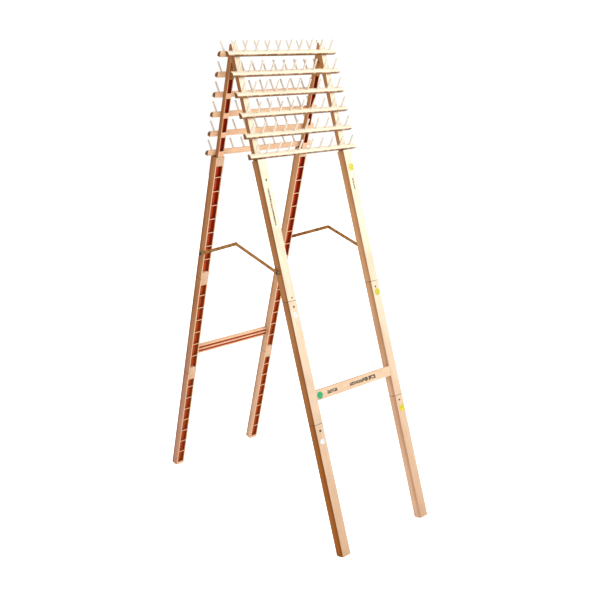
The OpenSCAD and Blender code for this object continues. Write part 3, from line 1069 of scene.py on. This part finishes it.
screws = {
    "headRadius": 0.003,
    "headDepth": 0.0018,
    "shankRadius": 0.0016,
    "crossHalf": 0.0018,
    "crossWidth": 0.0007,
    "crossDepth": 0.0009,
    "rounding": 0.00035,
    "railScrewX": 0.160,
    "railScrewUp": 0.004,
    "railScrewLength": 0.025,
    "leafScrews": [0.016, 0.028, 0.041],
    "leafScrewLength": 0.013,
    "leaf": 0.0015,
    "pointShare": 0.2,
    "pointNarrowing": 0.15,
    "seed": 7,
}


def cutCross(head, top, half, width, depth):
    # a cross-shaped recess, cut with two bars joined into one cutter
    bars = [
        addBox("bar", (-a, -b, top - depth), (a, b, top + depth))
        for a, b in ((half, width / 2), (width / 2, half))
    ]
    for bar in bars:
        useOnly(head)
        cut = head.modifiers.new("cross", "BOOLEAN")
        cut.operation = "DIFFERENCE"
        cut.solver = "EXACT"
        cut.object = bar
        bpy.ops.object.modifier_apply(modifier=cut.name)
        bpy.data.objects.remove(bar)


def makeScrew(headDepth, length):
    # countersunk, with the top of its head at z = 0 and its point down
    bpy.ops.mesh.primitive_cone_add(
        vertices=20,
        radius1=screws["shankRadius"],
        radius2=screws["headRadius"],
        depth=headDepth,
        location=(0, 0, -headDepth / 2),
    )
    screw = bpy.context.active_object
    applyPlace()
    openMesh(screw)
    pickFaces(screw, lambda centre, normal: normal.z < -0.9)
    point = length * screws["pointShare"]
    extrudeBy(0, 0, -(length - headDepth - point))
    extrudeBy(0, 0, -point)
    narrowing = screws["pointNarrowing"]
    bpy.ops.transform.resize(value=(narrowing, narrowing, 1))
    pickFaces(screw, lambda centre, normal: normal.z > 0.9)
    bpy.ops.mesh.inset(thickness=screws["rounding"] * 2)
    bpy.ops.transform.translate(value=(0, 0, screws["rounding"] / 2))
    closeMesh()
    cross = [screws[key] for key in ("crossHalf", "crossWidth", "crossDepth")]
    cutCross(screw, screws["rounding"] / 2, *cross)
    useOnly(screw)
    smoothUnder(30)
    return screw


def makeScrews():
    railScrew = makeScrew(screws["headDepth"], screws["railScrewLength"])
    leafScrew = makeScrew(screws["leaf"], screws["leafScrewLength"])
    draw = random.Random(screws["seed"])
    sets = {"rail": [], "leaf": []}
    railFace = -(stand["rackFace"] + rails["depth"])
    for side in (-1, 1):
        for i in range(rails["count"]):
            up = -rails["first"] - i * rails["pitch"] + screws["railScrewUp"]
            spin = Matrix.Rotation(draw.uniform(0, math.pi), 4, "Z")
            place = Matrix.Translation((side * screws["railScrewX"], railFace, up))
            place = place @ Matrix.Rotation(math.radians(90), 4, "X") @ spin
            sets["rail"].append(copyPiece(railScrew, "railScrew", place))
        for down in screws["leafScrews"]:
            spin = Matrix.Rotation(draw.uniform(0, math.pi), 4, "Z")
            leafFace = -stand["innerFace"] + screws["leaf"]
            place = Matrix.Translation((side * legMiddle, leafFace, -down))
            place = place @ Matrix.Rotation(math.radians(-90), 4, "X") @ spin
            sets["leaf"].append(copyPiece(leafScrew, "leafScrew", place))
    rows = (
        ("rail", "RailScrews", "plated_steel", dullBrass, "rail_screws"),
        ("leaf", "HingeScrews", "bronzed_metal", bronzedMetal, "hinge_screws"),
    )
    for key, label, slot, finish, node in rows:
        front = joinPieces(sets[key], "front" + label)
        placeBy(front, onFront)
        setPair(front, label, slot, (finish, finish), node)
    bpy.data.objects.remove(railScrew)
    bpy.data.objects.remove(leafScrew)


makeScrews()
print("screws made")


# ---- stays: links, rivets and pivot bolts ----

stays = {
    "pivotDepth": 0.0165,
    "rise": math.radians(17),
    "width": 0.010,
    "thickness": 0.002,
    "frontGap": 0.0043,
    "rearGap": 0.0018,
    "ease": 0.0003,
    "rivetRadius": 0.0025,
    "rivetHead": 0.004,
    "frontHead": (0.0016, 0.0012),  # depth of the head and of its rounding
    "rearHead": (0.0012, 0.0009),
    "boltRadius": 0.0025,
    "boltHead": 0.005,
    "boltHeadDepth": 0.0024,
    "boltRounding": 0.0017,
    "boltGap": 0.0003,
    "boltDepth": 0.020,
    "boltCross": (0.0026, 0.0011, 0.0012),  # half its length, its width and its depth
}
pivotReach = math.hypot(legs["pivotAt"], stays["pivotDepth"])
pivotAngle = math.atan2(stays["pivotDepth"], legs["pivotAt"])
linkLength = pivotReach * math.sin(stand["lean"] + pivotAngle) / math.cos(stays["rise"])
linkOpen = math.radians(90) - stays["rise"] - stand["lean"]
atPivot = onFront @ Matrix.Translation((0, -stays["pivotDepth"], -legs["pivotAt"]))
alongLink = atPivot @ Matrix.Rotation(-linkOpen, 4, "X")


def makeLink(name, gap):
    half = stays["width"] / 2
    x = stand["halfWidth"] + gap
    link = addBox(name, (x, -half, -half), (x + stays["thickness"], half, linkLength + half))
    openMesh(link, "EDGE")
    pickEdges(link, lambda a, b: abs(a.x - b.x) > stays["thickness"] * 0.9)
    bpy.ops.mesh.bevel(offset=half * 0.98, segments=8, affect="EDGES")
    closeMesh()
    easeEdges(link, stays["ease"], 1)
    return link


def makeButton(radius, depth, rounding, shank, shankLength):
    # a domed head on z = 0 and up, with its shank below
    button = addRound(28, radius, 0, depth)
    openMesh(button)
    pickFaces(button, lambda centre, normal: normal.z < -0.9)
    bpy.ops.mesh.inset(thickness=radius - shank)
    extrudeBy(0, 0, -shankLength)
    pickEdges(button, lambda a, b: min(a.z, b.z) > depth - 1e-5)
    bpy.ops.mesh.bevel(offset=rounding, segments=4, affect="EDGES", profile=0.55)
    closeMesh()
    smoothUnder(40)
    return button


def turnedOut(x, y=0.0, z=0.0, inward=False):
    # a button's own Z turned to point out along X, or back toward the leg
    turn = math.radians(-90 if inward else 90)
    return Matrix.Translation((x, y, z)) @ Matrix.Rotation(turn, 4, "Y")


def makeStays():
    x = stand["halfWidth"]
    for frameSide in ("front", "rear"):
        isFront = frameSide == "front"
        turn = Matrix.Identity(4) if isFront else toRear
        gap = stays[frameSide + "Gap"]
        link = makeLink("rightLink", gap)
        placeBy(link, turn @ alongLink)
        headShape = stays[frameSide + "Head"]
        head = makeButton(stays["rivetHead"], *headShape, stays["rivetRadius"], stays["thickness"])
        headX = x + gap + (stays["thickness"] if isFront else 0)
        placeBy(head, turn @ alongLink @ turnedOut(headX, 0, linkLength, inward=not isFront))
        node = "elbow_rivet" if isFront else "elbow_button"
        headAt = gap + stays["thickness"] + stays["boltGap"]
        bolt = makeButton(
            stays["boltHead"],
            stays["boltHeadDepth"],
            stays["boltRounding"],
            stays["boltRadius"],
            stays["boltDepth"] + headAt,
        )
        cutCross(bolt, stays["boltHeadDepth"], *stays["boltCross"])
        useOnly(bolt)
        smoothUnder(40)
        placeBy(bolt, turn @ atPivot @ turnedOut(x + headAt))
        bolts = [bolt, copyPiece(bolt, "bolt", toRight)]
        for side, mirror in (("right", None), ("left", toRight)):
            body = f"{side}_{frameSide}_link"
            linkPiece = copyPiece(link, f"{side}{frameSide.title()}Link", mirror)
            headPiece = copyPiece(head, f"{side}{frameSide.title()}Rivet", mirror)
            setPiece(linkPiece, body, "bronzed_metal", bronzedMetal, body)
            setPiece(headPiece, body, "bronzed_metal", bronzedMetal, f"{side}_{node}")
        bpy.data.objects.remove(link)
        bpy.data.objects.remove(head)
        pair = joinPieces(bolts, frameSide + "PivotBolts")
        screwNode = frameSide + "_pivot_screws"
        setPiece(pair, frameSide + "_frame", "plated_steel", darkSteel, screwNode)


makeStays()
print("stays made")


# ---- extra paper stickers on the left front leg ----

paperStickers = {
    "radius": 0.0082,
    "thickness": 0.0003,
    "rim": 0.0002,
    "swell": 0.00005,
    "ups": [0.693, 0.330],  # up from the foot
}


def makePaperStickers():
    made = []
    half = paperStickers["thickness"] / 2
    for up in paperStickers["ups"]:
        dot = addRound(32, paperStickers["radius"], -half, half)
        openMesh(dot)
        pickFaces(dot, lambda centre, normal: normal.z > 0.9)
        bpy.ops.mesh.inset(thickness=paperStickers["rim"])
        bpy.ops.transform.translate(value=(0, 0, paperStickers["swell"]))
        closeMesh()
        spot = Matrix.Translation((-legMiddle, -stand["outerFace"] - half, up - stand["foot"]))
        placeBy(dot, onFront @ spot @ Matrix.Rotation(math.radians(90), 4, "X"))
        made.append(dot)
    stuck = joinPieces(made, "whiteStickers")
    setPiece(stuck, "front_frame", "sticker_paper", whitePaper)


makePaperStickers()
print("stickers made")


# ---- CAD nodes that keep their shape ----

keptFinishes = (
    (redLining, "front_linings", "rear_linings"),
    (blockWood, "front_crossbar_dowels", "rear_crossbar_dowels"),
    (bronzedMetal, "left_front_leaf", "right_front_leaf", "left_rear_leaf", "right_rear_leaf"),
    (bronzedMetal, "hinge_pins"),
    (platedSteel, "front_pivot_spacers", "rear_pivot_washers"),
    (dotPaper, "stickers"),
)
for finish, *names in keptFinishes:
    for name in names:
        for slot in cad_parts[name].material_slots:
            slot.material = finish
print("CAD nodes finished")


# ---- floor, light and camera ----

studio = {
    "floorSize": 14.0,
    "floorTone": colour(0.92, 0.92, 0.92),
    "floorCloud": colour(0.9062, 0.9062, 0.9062),
    "floorGlow": 0.08,
    "floorSeen": 0.75,  # what the camera sees on top of that
    "sky": 0.75,
    "skySeen": 0.27,
    "aim": (0, 0, 0.8),
    "key": 85.0,
    "keyAt": (1.6, -2.6, 2.6),
    "keySize": 2.0,
    "fill": 14.0,
    "fillAt": (-2.4, -1.2, 1.6),
    "fillSize": 2.4,
}


def makeFloor():
    bpy.ops.mesh.primitive_plane_add(size=studio["floorSize"], location=(0, 0, 0))
    floor = bpy.context.active_object
    floor.name = "floor"
    material, tree, shader = newMaterial("palePaper")
    cloud = noise(tree, objectPoint(tree), 3.0)
    tone = mixColour(tree, cloud, studio["floorTone"], studio["floorCloud"])
    tree.links.new(tone, shader["Base Color"])
    shader["Roughness"].default_value = 0.9
    shader["Specular IOR Level"].default_value = 0.1
    shader["Emission Color"].default_value = colour(1, 1, 1)
    seen = addNode(tree, "ShaderNodeLightPath").outputs["Is Camera Ray"]
    glow = calc(tree, "MULTIPLY_ADD", seen, studio["floorSeen"], studio["floorGlow"])
    tree.links.new(glow, shader["Emission Strength"])
    floor.data.materials.append(material)


def makeSky():
    world = bpy.data.worlds.new("studioSky")
    bpy.context.scene.world = world
    world.use_nodes = True
    tree = world.node_tree
    tree.nodes.clear()
    seen = addNode(tree, "ShaderNodeLightPath").outputs["Is Camera Ray"]
    strength = calc(tree, "MULTIPLY_ADD", seen, studio["skySeen"], studio["sky"])
    sky = addNode(tree, "ShaderNodeBackground", {"Color": colour(1, 1, 1), "Strength": strength})
    out = tree.nodes.new("ShaderNodeOutputWorld")
    tree.links.new(sky.outputs[0], out.inputs["Surface"])


def makeLight(label):
    place = studio[label + "At"]
    bpy.ops.object.light_add(type="AREA", location=place)
    light = bpy.context.active_object
    light.name = label + "Light"
    light.data.size = studio[label + "Size"]
    light.data.energy = studio[label]
    toward = Vector(studio["aim"]) - Vector(place)
    light.rotation_euler = toward.to_track_quat("-Z", "Y").to_euler()


camera = {
    "place": (-1.718, -2.0603, 1.3567),
    "heading": math.radians(-40.759),
    "tilt": math.radians(74.952),
    "roll": math.radians(-1.364),
    "lens": 53.829,
    "sensor": 36.0,
}


def makeCamera():
    bpy.ops.object.camera_add()
    eye = bpy.context.active_object
    eye.data.lens = camera["lens"]
    eye.data.sensor_width = camera["sensor"]
    eye.matrix_world = (
        Matrix.Translation(camera["place"])
        @ Matrix.Rotation(camera["heading"], 4, "Z")
        @ Matrix.Rotation(camera["tilt"], 4, "X")
        @ Matrix.Rotation(camera["roll"], 4, "Z")
    )
    bpy.context.scene.camera = eye


makeFloor()
makeSky()
makeLight("key")
makeLight("fill")
makeCamera()
bpy.context.scene.view_settings.view_transform = "Standard"
print("studio ready")
